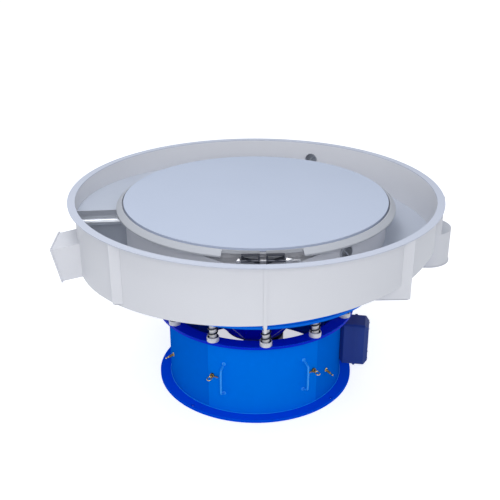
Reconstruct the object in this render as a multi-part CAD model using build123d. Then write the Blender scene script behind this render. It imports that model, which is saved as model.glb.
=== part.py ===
from build123d import *
import math
import os

# Round vibrating sieve with a spiral trough around its screen.
# Millimetres and degrees. Origin: centre of the base flange's underside. +Z up.
# The front, with the access panel, looks along -Y. Angles count from +X, anticlockwise seen from above.

# The base is turned a little against the deck that stands on its springs
base_turn = 3.15
front_angle = -90.0

# Small clearances
seat_gap = 0.3
run_gap = 0.05
slide_gap = 0.5

# Base: flange, drum and spring ring
drum_r = 427.0
drum_wall = 6.0
base_height = 398.0
base_flange_width = 55.0
base_flange_t = 12.0
floor_hole_edge = 17.0
floor_hole_r = 9.0
floor_hole_count = 4
floor_hole_first_angle = 45.0
spring_ring_width = 55.0
spring_ring_t = 12.0

# Springs and their cups
spring_count = 12
spring_circle_out = 31.0
spring_space = 164.0
cup_wall = 3.0
cup_floor = 4.0
lower_cup_height = 26.0
upper_cup_height = 18.0
coil_r = 20.5
wire_r = 3.5
coil_pitch = 24.0
steps_per_turn = 10
coil_play = 1.8
sleeve_r = 16.0
sleeve_top_gap = 22.0

# Access opening, its panel, handles and latches
opening_half_angle = 34.9
opening_low = 40.0
opening_top_margin = 40.0
panel_half_angle = 35.9
panel_t = 3.0
panel_end_gap = 4.0
handle_angle = 25.0
handle_low = 112.0
handle_length = 156.0
handle_reach = 40.0
handle_slope = 18.0
handle_bar_r = 4.5
handle_bend = 12.0
handle_pad_r = 9.0
handle_pad_t = 2.5
latch_angle = 32.8
latch_level = 194.0
latch_hub_r = 11.0
latch_hub_length = 9.0
latch_neck_r = 7.5
latch_neck_length = 9.0
latch_stud_r = 4.0
latch_stud_past_wall = 4.0
latch_loop_width = 24.0
latch_loop_length = 32.0
latch_loop_bar_r = 2.6
latch_loop_drop = 12.0
latch_rod_r = 3.0
latch_rod_length = 22.0

# Grease fittings on the drum
fitting_angles = (45.7, -74.0)
fitting_levels = (150.0, 165.0)
fitting_flange_r = 9.5
fitting_flange_t = 3.0
fitting_body_r = 6.0
fitting_body_length = 25.0
fitting_tube_r = 4.0
fitting_tube_length = 16.0
fitting_droop = 20.0

# Terminal box on the drum
box_angle = 75.0
box_low = 98.0
box_height = 219.0
box_width = 118.0
box_reach = 69.0
box_cover_depth = 65.0
box_wall = 5.0
box_corner = 8.0
box_lip = 3.5
box_lip_t = 6.0
box_face_bevel = 20.0
box_back_bevel = 16.0
lead_hole_r = 15.0
screw_head_r = 4.5
screw_head_t = 3.0
gland_r = 15.0
gland_length = 24.0
gland_bore_r = 7.0
gland_nut_t = 8.0
gland_dome_r = 11.5
gland_nose_bevel = 3.0
gland_reach = 34.0
gland_rise = 66.0

# Vibrating frame: plate, motor tube, gussets and collar
shell_r = 605.0
shell_wall = 4.0
frame_ledge = 5.0
frame_plate_t = 12.0
collar_height = 66.0
gusset_count = 8
gusset_first_angle = -115.0
gusset_t = 8.0
gusset_past_springs = 42.0
gusset_outer_depth = 12.0
motor_tube_wall = 7.0
motor_tube_gap = 3.0
motor_tube_length = 312.0

# Motor
motor_r = 150.0
motor_wall = 32.0
motor_flange_r = 190.0
motor_flange_t = 16.0
motor_bolt_circle_r = 171.0
motor_bolt_count = 8
motor_bolt_r = 8.0
motor_bolt_head_t = 10.0
motor_bolt_head_af = 24.0
motor_cover_t = 14.0
motor_boss_r = 62.0
motor_boss_t = 14.0
stator_rise = 70.0
stator_length = 180.0
air_gap = 1.0
rotor_r = 74.0
shaft_r = 30.0
shaft_tail = 10.0
weight_gap = 14.0
upper_weight_r = 135.0
upper_weight_t = 60.0
lower_weight_r = 140.0
lower_weight_t = 64.0
weight_angle = 160.0
weight_lead_angle = 45.0
weight_hub_r = 52.0

# Inner shell, dome pan and screen
shell_height = 274.0
shell_flange_width = 12.0
shell_flange_t = 4.0
dome_edge_depth = 254.0
dome_rise = 130.0
dome_t = 3.0
dome_steps = 9
gasket_t = 3.0
gasket_inset = 1.5
screen_overhang = 5.0
screen_ring_width = 40.0
screen_ring_height = 11.2
mesh_t = 1.2

# Spiral trough: how far the floor's top lies below the shell's top along its turn,
# clockwise seen from above
step_angle = 184.0
back_seam_angle = 90.0
landing_start_angle = 22.0
landing_end_angle = -32.0
front_seam_angle = -90.0
floor_start_depth = 29.0
landing_depth = 146.0
front_seam_depth = 208.0
floor_end_depth = 264.0
floor_t = 3.0
trough_width = 222.0
wall_t = 4.0
trough_rise = 45.0
rim_width = 30.0
rim_t = 4.0

# Step between the trough's two ends
step_plate_t = 4.0
step_lip_height = 33.0
step_lip_t = 3.0
step_bar_r = 18.0
step_bar_seat = 3.0

# Seam straps and the brackets below them
strap_width = 15.0
strap_t = 3.0
strap_tab = 33.0
strap_tab_end = 5.0
bracket_t = 8.0
bracket_foot_rise = 26.0
bracket_top_gap = 1.0

# Discharge chute
chute_width = 196.0
chute_height = 157.0
chute_centre_y = -173.0
chute_below_floor = 2.0
chute_slope = 12.9
chute_length = 87.0
chute_wall = 3.0
chute_lip = 5.0
chute_lip_length = 6.0

# Corner boxes that carry the trough
corner_box_shell_gap = 8.2
corner_box_proud = 21.2
corner_box_depth = 232.0
corner_box_wall = 3.0
corner_box_bevel = 9.0
drain_hole_r = 6.0

# Fines duct and its round spout
spout_inset = 17.0
spout_r = 120.0
duct_wall = 4.0
duct_side = 3.0
duct_height = 124.7
duct_window_depth = 40.0
duct_window_side = 1.0
duct_window_low = 24.0
duct_window_high = 5.0
spout_length = 40.0
spout_lip = 4.0
stay_t = 4.0
stay_out = 27.0

# Clamp band, its recess windows and bolts
band_t = 3.0
band_rise = 9.0
band_height = 15.0
band_skirt_width = 26.0
band_skirt_drop = 19.0
band_lip = 7.0
band_open_angle = 1.2
lug_end_t = 6.0
lug_strap_t = 3.0
lug_length = 73.0
lug_above_bolt = 27.0
lug_below_bolt = 12.0
lug_tip_height = 13.0
lug_depth = 20.0
clamp_sleeve_r = 6.5
clamp_sleeve_past_lug = 2.0
bolt_depth = 29.0
bolt_r = 5.0
bolt_short_end = 106.0
bolt_long_end = 150.0
nut_af = 17.0
long_nut_t = 24.0
thin_nut_t = 9.0
window_flat_angle = 15.0
window_tip_angle = 24.6
window_depth = 11.0
window_height = 45.0
window_end_trim = 6.0
recess_depth = 72.0
recess_wall = 3.0

# Small round ports in the shell and in the trough's wall
shell_port_angle = -54.6
shell_port_depth = 59.0
wall_port_angle = 65.5
wall_port_depth = 46.0
port_r = 32.0
port_wall = 3.0
port_proud = 7.0
port_depth = 26.0
port_bar_r = 3.0
port_bar_tilt = 40.0

# Overlap of two bodies that are made as one
fuse_overlap = 1.0

# Radii that follow from the sizes above
drum_in_r = drum_r - drum_wall
base_flange_r = drum_r + base_flange_width
spring_ring_r = drum_r + spring_ring_width
spring_circle_r = drum_r + spring_circle_out
gusset_outer_r = spring_circle_r + gusset_past_springs
frame_r = shell_r + frame_ledge
shell_in_r = shell_r - shell_wall
shell_flange_r = shell_r + shell_flange_width
screen_r = shell_r + screen_overhang
wall_r = shell_r + trough_width
wall_in_r = wall_r - wall_t
floor_in_r = shell_r + seat_gap
floor_out_r = wall_in_r - seat_gap
seat_r = wall_r + seat_gap
motor_hole_r = motor_r + motor_tube_gap
spout_x = wall_r - spout_inset
duct_start_x = shell_in_r - duct_window_depth
base_front = front_angle + base_turn

# Levels of the base and of the frame
drum_top = base_height - spring_ring_t
opening_high = base_height - opening_top_margin
handle_high = handle_low + handle_length
box_high = box_low + box_height
spring_low = base_height
frame_low = base_height + spring_space
frame_top = frame_low + frame_plate_t
collar_top = frame_top + collar_height
motor_tube_low = frame_low - motor_tube_length
motor_top = frame_top + motor_flange_t
stator_low = motor_tube_low + stator_rise
stator_high = stator_low + stator_length
bracket_foot_level = frame_top + bracket_foot_rise

# Levels of the shell and of the trough
shell_top = collar_top + shell_height
dome_edge_level = shell_top - dome_edge_depth
dome_top_level = dome_edge_level + dome_rise
window_high = shell_top - window_depth
window_low = window_high - window_height
bolt_level = shell_top - bolt_depth
shell_port_level = shell_top - shell_port_depth
wall_port_level = shell_top - wall_port_depth
band_top = shell_top + band_rise
band_low = band_top - band_height
band_skirt_level = band_top - band_skirt_drop
screen_low = shell_top + gasket_t
mesh_low = screen_low + screen_ring_height
floor_start_level = shell_top - floor_start_depth
landing_level = shell_top - landing_depth
front_seam_level = shell_top - front_seam_depth
floor_end_level = shell_top - floor_end_depth
trough_top = shell_top + trough_rise
rim_low = trough_top - rim_t
chute_top_level = floor_end_level - chute_below_floor + chute_height
corner_box_low = shell_top - corner_box_depth
duct_top = landing_level - floor_t - seat_gap
duct_low = duct_top - duct_height

parts = {}


def revolved(points, start=0.0, arc=360.0):
    """Solid of revolution about Z from (radius, level) points."""
    outline = Polyline(*[(r, 0, z) for r, z in points], close=True)
    return Rot(0, 0, start) * revolve(make_face(outline), Axis.Z, arc)


def ring(r_in, r_out, low, high, start=0.0, arc=360.0):
    """Ring or ring sector between two radii and two levels."""
    return revolved([(r_in, low), (r_out, low), (r_out, high), (r_in, high)], start, arc)


def disc(r, low, high):
    """Upright cylinder between two levels."""
    return Pos(0, 0, low) * Cylinder(r, high - low, align=(Align.CENTER, Align.CENTER, Align.MIN))


def block(x_low, x_high, y_low, y_high, z_low, z_high):
    """Box between two corners."""
    centre = Pos((x_low + x_high) / 2, (y_low + y_high) / 2, (z_low + z_high) / 2)
    return centre * Box(x_high - x_low, y_high - y_low, z_high - z_low)


def radial_rod(r, inner, outer, angle, level):
    """Cylinder on a radial axis, from one radius to another."""
    rod = Cylinder(r, outer - inner, align=(Align.CENTER, Align.CENTER, Align.MIN))
    return Rot(0, 0, angle) * Pos(inner, 0, level) * Rot(0, 90, 0) * rod


def radial_plate(points, thickness, angle):
    """Upright plate in a radial plane, from (radius, level) points."""
    outline = Polyline(*[(r, 0, z) for r, z in points], close=True)
    plate = extrude(make_face(outline), thickness / 2, dir=(0, 1, 0), both=True)
    return Rot(0, 0, angle) * plate


def spread(shape, angles):
    """Separate copies of one solid turned about Z."""
    return Compound(children=[Rot(0, 0, a) * shape for a in angles])


def group(shapes):
    """Several separate solids kept together as one node."""
    return Compound(children=list(shapes))


def around(count, first=0.0):
    """Angles of an even circular pattern."""
    return [first + 360.0 * i / count for i in range(count)]


def trough_slopes():
    """The floor's stretches: name, end angle, start angle, end level, start level."""
    drop = (floor_start_level - landing_level) / (step_angle - landing_start_angle)
    seam_level = landing_level + (back_seam_angle - landing_start_angle) * drop
    return {
        "back_left": (back_seam_angle, step_angle, seam_level, floor_start_level),
        "back_right": (landing_start_angle, back_seam_angle, landing_level, seam_level),
        "landing": (landing_end_angle, landing_start_angle, landing_level, landing_level),
        "front_right": (front_seam_angle, landing_end_angle, front_seam_level, landing_level),
        "front_left": (step_angle - 360, front_seam_angle, floor_end_level, front_seam_level),
    }


def ramp(stretch, r_in, r_out, below, above):
    """Screw-shaped body over one stretch of floor: a section swept up its helix."""
    end_angle, start_angle, end_level, start_level = stretch
    arc = start_angle - end_angle
    rise = start_level - end_level
    if abs(rise) < 0.001:
        return ring(r_in, r_out, end_level - below, end_level + above, end_angle, arc)
    mid_r = (r_in + r_out) / 2
    path = Helix(rise * 360 / arc, rise, mid_r)
    outline = Polyline((r_in, 0, -below), (r_out, 0, -below), (r_out, 0, above), (r_in, 0, above), close=True)
    body = sweep(make_face(outline), path, is_frenet=True)
    return Pos(0, 0, end_level) * Rot(0, 0, end_angle) * body


def under_floor(extra):
    """Everything inside the trough, down to a given depth under its floor's top."""
    below = floor_t + seat_gap + extra
    return {name: ramp(stretch, shell_in_r, seat_r + extra, below, trough_top)
            for name, stretch in trough_slopes().items()}


def seam_level(angle):
    """The floor's top level at a seam."""
    return {back_seam_angle: trough_slopes()["back_left"][2], front_seam_angle: front_seam_level}[angle]


# Base flange with its floor bolt holes
floor_bolt_r = base_flange_r - floor_hole_edge
floor_hole = Pos(floor_bolt_r, 0, 0) * disc(floor_hole_r, 0, base_flange_t)
flange = ring(drum_in_r, base_flange_r, 0, base_flange_t)
flange -= spread(floor_hole, around(floor_hole_count, base_front + floor_hole_first_angle))
parts["base_flange"] = flange

# Drum: tube with the access opening and holes for leads and grease tubes
drum = ring(drum_in_r, drum_r, base_flange_t, drum_top)
cut_in_r = drum_in_r - drum_wall
cut_out_r = drum_r + drum_wall
opening_start = base_front - opening_half_angle
drum -= ring(cut_in_r, cut_out_r, opening_low, opening_high, opening_start, 2 * opening_half_angle)
box_level = (box_low + box_high) / 2
drum -= radial_rod(lead_hole_r, cut_in_r, cut_out_r, base_front + box_angle, box_level)
for fitting_angle, fitting_level in zip(fitting_angles, fitting_levels):
    angle = base_front + fitting_angle
    drum -= radial_rod(fitting_tube_r + slide_gap, cut_in_r, cut_out_r, angle, fitting_level)
parts["drum"] = drum

# Spring ring on top of the drum
parts["spring_ring"] = ring(drum_in_r, spring_ring_r, drum_top, base_height)

# Springs: open coils between a lower and an upper cup, each around a sleeve
spring_angles = around(spring_count, base_front)
coil_low = spring_low + cup_floor
coil_high = frame_low - cup_floor
coil_out_r = coil_r + wire_r
cup_in_r = coil_out_r + coil_play
cup_r = cup_in_r + cup_wall
coil_height = coil_high - coil_low - 2 * wire_r
coil_steps = round(coil_height / coil_pitch * steps_per_turn)
coil_points = []
for i in range(coil_steps + 1):
    a = 2 * math.pi * i / steps_per_turn
    coil_points.append((coil_r * math.cos(a), coil_r * math.sin(a), coil_height * i / coil_steps))
coil_path = Polyline(*coil_points)
wire = Plane(origin=coil_path @ 0, z_dir=coil_path % 0) * RegularPolygon(wire_r, 4)
coil = Pos(spring_circle_r, 0, coil_low + wire_r) * sweep(wire, coil_path, transition=Transition.RIGHT)
parts["springs"] = spread(coil, spring_angles)

lower_cup = disc(cup_r, spring_low, spring_low + lower_cup_height)
lower_cup -= disc(cup_in_r, coil_low, spring_low + lower_cup_height)
lower_cup += disc(sleeve_r, coil_low, frame_low - sleeve_top_gap)
parts["lower_spring_cups"] = spread(Pos(spring_circle_r, 0, 0) * lower_cup, spring_angles)

upper_cup = disc(cup_r, frame_low - upper_cup_height, frame_low)
upper_cup -= disc(cup_in_r, frame_low - upper_cup_height, coil_high)
parts["upper_spring_cups"] = spread(Pos(spring_circle_r, 0, 0) * upper_cup, spring_angles)

# Access panel over the opening
panel_in_r = drum_r + seat_gap
panel_r = panel_in_r + panel_t
panel_low = base_flange_t + panel_end_gap
panel_high = drum_top - panel_end_gap
panel = ring(panel_in_r, panel_r, panel_low, panel_high, base_front - panel_half_angle, 2 * panel_half_angle)
latch_angles = {"latch_left": base_front - latch_angle, "latch_right": base_front + latch_angle}
for angle in latch_angles.values():
    panel -= radial_rod(latch_stud_r + run_gap, panel_in_r - panel_t, panel_r + panel_t, angle, latch_level)
parts["access_panel"] = panel

# Handles on the panel: bent bars on small round pads
handle_out_r = panel_r + handle_reach
handle_path = FilletPolyline(
    (panel_r + handle_pad_t, 0, handle_low),
    (handle_out_r, 0, handle_low + handle_slope),
    (handle_out_r, 0, handle_high - handle_slope),
    (panel_r + handle_pad_t, 0, handle_high),
    radius=handle_bend,
)
bar_section = Plane(origin=handle_path @ 0, z_dir=handle_path % 0) * RegularPolygon(handle_bar_r, 8)
handle = sweep(bar_section, handle_path)
for level in (handle_low, handle_high):
    handle += radial_rod(handle_pad_r, panel_r, panel_r + handle_pad_t + handle_bar_r / 2, 0, level)
parts["panel_handles"] = spread(handle, (base_front - handle_angle, base_front + handle_angle))

# Latches: hub, loop and stud turn together in the panel
hub_low = panel_r + seat_gap
neck_low = hub_low + latch_hub_length
neck_high = neck_low + latch_neck_length
stud_end = drum_in_r - latch_stud_past_wall
for name, angle in latch_angles.items():
    latch = radial_rod(latch_hub_r, hub_low, neck_low, 0, latch_level)
    latch += radial_rod(latch_neck_r, neck_low, neck_high, 0, latch_level)
    latch += radial_rod(latch_stud_r, stud_end, hub_low, 0, latch_level)
    inward = 1 if name == "latch_left" else -1
    rod_end = inward * (latch_hub_r + latch_rod_length)
    rod = Cylinder(latch_rod_r, abs(rod_end), align=(Align.CENTER, Align.CENTER, Align.MIN))
    latch += Pos(neck_low - latch_rod_r, 0, latch_level) * Rot(-90 * inward, 0, 0) * rod
    loop_bar = 2 * latch_loop_bar_r
    loop = SlotOverall(latch_loop_length, latch_loop_width)
    loop -= SlotOverall(latch_loop_length - 2 * loop_bar, latch_loop_width - 2 * loop_bar)
    loop = extrude(loop, latch_loop_bar_r, both=True)
    loop_place = Pos(neck_high - latch_loop_bar_r, 0, latch_level) * Rot(0, latch_loop_drop, 0)
    latch += loop_place * Pos(latch_loop_length / 2 - latch_loop_bar_r, 0, 0) * loop
    parts[name] = Rot(0, 0, angle) * latch

# Grease fittings: flange on the drum, body and tube that droop from it
fittings = []
for fitting_angle, fitting_level in zip(fitting_angles, fitting_levels):
    flange_out = drum_r + fitting_flange_t
    angle = base_front + fitting_angle
    fitting = radial_rod(fitting_flange_r, drum_in_r + drum_wall / 2, flange_out, angle, fitting_level)
    fitting -= ring(cut_in_r, drum_r + seat_gap, 0, base_height)
    fitting += radial_rod(fitting_tube_r, drum_in_r - drum_wall, flange_out, angle, fitting_level)
    body_end = fitting_flange_t + fitting_body_length
    drooping = radial_rod(fitting_body_r, 0, body_end, 0, 0)
    drooping += radial_rod(fitting_tube_r, 0, body_end + fitting_tube_length, 0, 0)
    fitting_place = Rot(0, 0, angle) * Pos(drum_r, 0, fitting_level) * Rot(0, fitting_droop, 0)
    fitting += fitting_place * drooping - disc(flange_out - fuse_overlap, 0, base_height)
    fittings.append(fitting)
parts["grease_fittings"] = group(fittings)

# Terminal box: body, cover, screws and cable gland, drawn with X pointing outward
box_seat_r = drum_r + seat_gap
box_split = box_seat_r + box_reach
box_out = box_split + box_cover_depth


def box_side(half, middle, inner, outer, inner_bevel, outer_bevel):
    """Side view of a box bevelled at both its ends, as (distance, height) points."""
    low = middle - half
    high = middle + half
    points = [
        (inner, low + inner_bevel), (inner + inner_bevel, low), (outer - outer_bevel, low),
        (outer, low + outer_bevel), (outer, high - outer_bevel), (outer - outer_bevel, high),
        (inner + inner_bevel, high), (inner, high - inner_bevel),
    ]
    return [p for p, before in zip(points, points[-1:] + points[:-1]) if p != before]


def box_prism(grow, inner, outer, inner_bevel=0.0, outer_bevel=0.0):
    """Body of the box between two distances, grown all round and bevelled at its ends."""
    half_width = box_width / 2 + grow
    half_height = box_height / 2 + grow
    upright = box_side(half_height, box_level, inner, outer, inner_bevel, outer_bevel)
    flat = box_side(half_width, 0, inner, outer, inner_bevel, outer_bevel)
    upright_face = make_face(Polyline(*[(x, 0, z) for x, z in upright], close=True))
    flat_face = make_face(Polyline(*[(x, y, 0) for x, y in flat], close=True))
    body = extrude(upright_face, half_width, dir=(0, 1, 0), both=True)
    body &= Pos(0, 0, box_level - half_height) * extrude(flat_face, 2 * half_height, dir=(0, 0, 1))
    corner = box_width + box_height
    for y_sign, z_sign in ((1, 1), (1, -1), (-1, 1), (-1, -1)):
        cut = Pos(0, y_sign * half_width, box_level + z_sign * half_height) * Rot(45, 0, 0)
        body -= cut * Box(corner * 4, box_corner * math.sqrt(2), box_corner * math.sqrt(2))
    return body


box_place = Rot(0, 0, base_front + box_angle)
box_lip_start = box_split - box_lip_t
cavity_start = box_seat_r + box_back_bevel
box_body = box_prism(0, drum_in_r, box_split, box_seat_r - drum_in_r + box_back_bevel)
box_body += box_prism(box_lip, box_lip_start, box_split)
box_body -= box_prism(-box_wall, cavity_start, box_split + box_wall)
box_body -= disc(box_seat_r, 0, base_height)
box_body -= Pos(box_seat_r, 0, box_level) * Rot(0, 90, 0) * Cylinder(lead_hole_r, 3 * box_back_bevel)
gland_place = Pos(box_seat_r + gland_reach, box_width / 2, box_low + gland_rise) * Rot(-90, 0, 0)
box_body -= gland_place * Cylinder(gland_bore_r, 3 * box_wall)
parts["terminal_box"] = box_place * box_body

cover = box_prism(box_lip, box_split, box_split + box_lip_t)
cover += box_prism(0, box_split, box_out, 0.0, box_face_bevel)
cover -= box_prism(-box_wall, box_split - box_wall, box_out - box_wall - box_face_bevel)
parts["terminal_cover"] = box_place * cover

screw_inset = box_face_bevel + box_corner
screw_y = box_width / 2 - screw_inset
screw_z = box_height / 2 - screw_inset
screw = Rot(0, 90, 0) * Cylinder(screw_head_r, screw_head_t, align=(Align.CENTER, Align.CENTER, Align.MIN))
screws = [box_place * Pos(box_out, y, box_level + z) * screw
          for y in (-screw_y, screw_y) for z in (-screw_z, screw_z)]
parts["box_screws"] = group(screws)

gland_hex = extrude(RegularPolygon(gland_r, 6), gland_nut_t)
gland_nose = disc(gland_dome_r, gland_nut_t, gland_length)
gland = gland_hex + chamfer(gland_nose.edges().sort_by(Axis.Z)[-1], gland_nose_bevel)
gland -= Cylinder(gland_bore_r, gland_length, align=(Align.CENTER, Align.CENTER, Align.MIN))
parts["cable_gland"] = box_place * gland_place * gland

# Frame plate with the motor's hole and bolt holes
plate = ring(motor_hole_r, frame_r, frame_low, frame_top)
motor_bolt_angles = around(motor_bolt_count, 360 / motor_bolt_count / 2)
bolt_hole = Pos(motor_bolt_circle_r, 0, 0) * disc(motor_bolt_r + slide_gap, frame_low, motor_top)
plate -= spread(bolt_hole, motor_bolt_angles)
parts["frame_plate"] = plate

# Motor tube and the gussets that brace it to the plate
motor_tube_r = motor_hole_r + motor_tube_wall
parts["motor_tube"] = ring(motor_hole_r, motor_tube_r, motor_tube_low, frame_low)
gusset_points = [
    (motor_tube_r, motor_tube_low), (gusset_outer_r, frame_low - gusset_outer_depth),
    (gusset_outer_r, frame_low), (motor_tube_r, frame_low),
]
gusset = radial_plate(gusset_points, gusset_t, 0)
parts["gussets"] = spread(gusset, around(gusset_count, gusset_first_angle + base_turn))

# Collar under the inner shell
parts["frame_collar"] = ring(shell_in_r, shell_r, frame_top, collar_top)

# Motor: housing with flange, covers, stator and bolts
motor_low = motor_tube_low
motor_in_r = motor_r - motor_wall
housing = ring(motor_in_r, motor_r, motor_low, motor_top)
housing += ring(motor_r - fuse_overlap, motor_flange_r, frame_top, motor_top)
housing -= spread(bolt_hole, motor_bolt_angles)
parts["motor_housing"] = housing
top_cover = ring(shaft_r + run_gap, motor_r, motor_top, motor_top + motor_cover_t)
top_cover += ring(shaft_r + run_gap, motor_boss_r, motor_top, motor_top + motor_cover_t + motor_boss_t)
parts["motor_top_cover"] = top_cover
bottom_cover = ring(shaft_r + run_gap, motor_r, motor_low - motor_cover_t, motor_low)
bottom_cover += ring(shaft_r + run_gap, motor_boss_r, motor_low - motor_cover_t - motor_boss_t, motor_low)
parts["motor_bottom_cover"] = bottom_cover
parts["stator_core"] = ring(rotor_r + air_gap, motor_in_r, stator_low, stator_high)
bolt_hex = RegularPolygon(motor_bolt_head_af / 2, 6, major_radius=False)
bolt_head = Pos(0, 0, motor_top) * extrude(bolt_hex, motor_bolt_head_t)
motor_bolt = bolt_head + disc(motor_bolt_r, frame_low, motor_top)
parts["motor_bolts"] = spread(Pos(motor_bolt_circle_r, 0, 0) * motor_bolt, motor_bolt_angles)

# Rotor: shaft, core and the two out-of-balance weights
upper_weight_low = motor_top + motor_cover_t + motor_boss_t + weight_gap
upper_weight_high = upper_weight_low + upper_weight_t
lower_weight_high = motor_low - motor_cover_t - motor_boss_t - weight_gap
lower_weight_low = lower_weight_high - lower_weight_t
parts["motor_shaft"] = disc(shaft_r, lower_weight_low - shaft_tail, upper_weight_high + shaft_tail)
parts["rotor_core"] = ring(shaft_r, rotor_r, stator_low, stator_high)
upper_start = -weight_angle / 2
upper_weight = ring(shaft_r, upper_weight_r, upper_weight_low, upper_weight_high, upper_start, weight_angle)
parts["upper_weight"] = upper_weight + ring(shaft_r, weight_hub_r, upper_weight_low, upper_weight_high)
lower_start = -weight_angle / 2 - weight_lead_angle
lower_weight = ring(shaft_r, lower_weight_r, lower_weight_low, lower_weight_high, lower_start, weight_angle)
parts["lower_weight"] = lower_weight + ring(shaft_r, weight_hub_r, lower_weight_low, lower_weight_high)

# Inner shell with the duct window, two curved panels between the bolt windows, and the top flange
window_x = shell_r * math.sin(math.radians(window_flat_angle))
window_tip_x = shell_r * math.sin(math.radians(window_tip_angle))


def window_prism(grow, inner_y, outer_y):
    """Long six-sided window at the front, carried between two distances from the axis."""
    mid = (window_low + window_high) / 2
    outline = Polyline(
        (-window_tip_x - grow, 0, mid), (-window_x, 0, window_low - grow), (window_x, 0, window_low - grow),
        (window_tip_x + grow, 0, mid), (window_x, 0, window_high + grow), (-window_x, 0, window_high + grow),
        close=True,
    )
    return Pos(0, -inner_y, 0) * extrude(make_face(outline), outer_y - inner_y, dir=(0, -1, 0))


windows = [window_prism(0, shell_r - recess_depth, shell_flange_r)]
windows.append(Rot(0, 0, 180) * windows[0])
port_hole_r = port_r + seat_gap
port_cut = (shell_in_r - shell_wall, shell_r + shell_wall)
port_hole = radial_rod(port_hole_r, *port_cut, shell_port_angle, shell_port_level)

shell = ring(shell_in_r, shell_r, collar_top, window_low) - port_hole
duct_half = spout_r - duct_wall - duct_window_side
duct_window_z = (duct_low + duct_window_low, duct_top - duct_window_high)
shell -= block(duct_start_x, shell_r + duct_wall, -duct_half, duct_half, *duct_window_z)
parts["inner_shell"] = shell

window_clear_x = window_x + window_end_trim
shell_panels = ring(shell_in_r, shell_r, window_low, window_high) - port_hole
shell_panels -= block(-window_clear_x, window_clear_x, -shell_flange_r, shell_flange_r, window_low, window_high)
for window in windows:
    shell_panels -= window
parts["shell_panels"] = shell_panels

parts["shell_flange"] = revolved([
    (shell_in_r, window_high), (shell_r, window_high), (shell_r, shell_top - shell_flange_t),
    (shell_flange_r, shell_top - shell_flange_t), (shell_flange_r, shell_top), (shell_in_r, shell_top),
])

# Recess pans behind the two windows
recess_y = shell_r - recess_depth
pan = window_prism(recess_wall, recess_y, shell_r) - window_prism(0, recess_y + recess_wall, shell_r)
pan &= disc(shell_in_r - seat_gap, 0, trough_top)
parts["bolt_recesses"] = spread(pan, (0, 180))

# Dome pan that sheds the fines outward to the duct window
dome_r = shell_in_r - seat_gap
dome_sphere_r = (dome_r * dome_r + dome_rise * dome_rise) / (2 * dome_rise)
dome_over = []
dome_under = []
for i in range(dome_steps + 1):
    r = dome_r * i / dome_steps
    level = dome_top_level - dome_sphere_r + math.sqrt(dome_sphere_r * dome_sphere_r - r * r)
    dome_over.append((r, level))
    dome_under.insert(0, (r, level - dome_t))
parts["dome_pan"] = revolved(dome_over + dome_under)

# Screen: gasket, ring and mesh lift off together
parts["gasket"] = ring(screen_r - screen_ring_width, shell_flange_r - gasket_inset, shell_top, screen_low)
parts["screen_ring"] = ring(screen_r - screen_ring_width, screen_r, screen_low, mesh_low)
parts["screen_mesh"] = disc(screen_r, mesh_low, mesh_low + mesh_t)

# Trough floor: five sheets along the screw line
slopes = trough_slopes()
for name, stretch in slopes.items():
    node = "floor_landing" if name == "landing" else "floor_" + name
    parts[node] = ramp(stretch, floor_in_r, floor_out_r, floor_t, 0)

# Trough wall: two halves that follow the floor's underside, joined at the seams
wall_low = floor_end_level - floor_t
below = {name: ramp(stretch, wall_in_r - wall_t, wall_r + wall_t, 2 * spout_r, -floor_t)
         for name, stretch in slopes.items()}
wall_right = ring(wall_in_r, wall_r, wall_low, rim_low, front_seam_angle, back_seam_angle - front_seam_angle)
for name in ("front_right", "landing", "back_right"):
    wall_right -= below[name]
left_arc = 360 + front_seam_angle - back_seam_angle
wall_left = ring(wall_in_r, wall_r, wall_low, rim_low, back_seam_angle, left_arc)
for name in ("back_left", "front_left"):
    wall_left -= below[name]
wall_right -= radial_rod(port_hole_r, wall_in_r - wall_t, wall_r + wall_t, wall_port_angle, wall_port_level)

# Discharge chute: sloping box that leaves the trough's lowest point
chute_drop = Rot(0, -chute_slope, 0)
chute_place = Pos(-wall_r, chute_centre_y, chute_top_level) * chute_drop


def chute_prism(grow, inner, outer):
    """The chute's box section carried along its slope, from inside the wall outward."""
    half = chute_width / 2 + grow
    return chute_place * block(-outer, -inner, -half, half, -chute_height - grow, grow)


chute_inside = -chute_width / 2
chute = chute_prism(0, chute_inside, chute_length)
chute += chute_prism(chute_lip, chute_length - chute_lip_length, chute_length)
chute -= chute_prism(-chute_wall, chute_inside - chute_lip, chute_length + chute_lip)
chute -= disc(floor_out_r + seat_gap, 0, trough_top)
parts["discharge_chute"] = chute
wall_left -= chute_prism(seat_gap, chute_inside, chute_length)
parts["trough_wall_right"] = wall_right
parts["trough_wall_left"] = wall_left.solids().sort_by(SortBy.VOLUME)[-1]

# Rim flange on the wall's top edge, in two halves
rim_arc = 180.0
parts["rim_right"] = ring(wall_in_r, wall_r + rim_width, rim_low, trough_top, front_seam_angle, rim_arc)
parts["rim_left"] = ring(wall_in_r, wall_r + rim_width, rim_low, trough_top, back_seam_angle, rim_arc)

# Step between the high and the low end of the floor: plate, folded lip and round stiffener
step_top = floor_start_level - floor_t - seat_gap
step = block(floor_in_r, floor_out_r, -step_plate_t, 0, floor_end_level - floor_t, step_top)
step += block(floor_in_r, floor_out_r, 0, step_lip_t, floor_start_level - step_lip_height, floor_start_level)
bar_level = floor_start_level - step_lip_height - step_bar_r
bar = Pos(floor_in_r, step_bar_r - step_bar_seat, bar_level) * Rot(0, 90, 0) * Cylinder(
    step_bar_r, floor_out_r - floor_in_r, align=(Align.CENTER, Align.CENTER, Align.MIN))
step += bar - block(floor_in_r, floor_out_r, -step_bar_r, 0, bar_level - step_bar_r, bar_level + step_bar_r)
step &= ring(floor_in_r, floor_out_r, wall_low, trough_top)
parts["step_plate"] = Rot(0, 0, step_angle) * step


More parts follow.
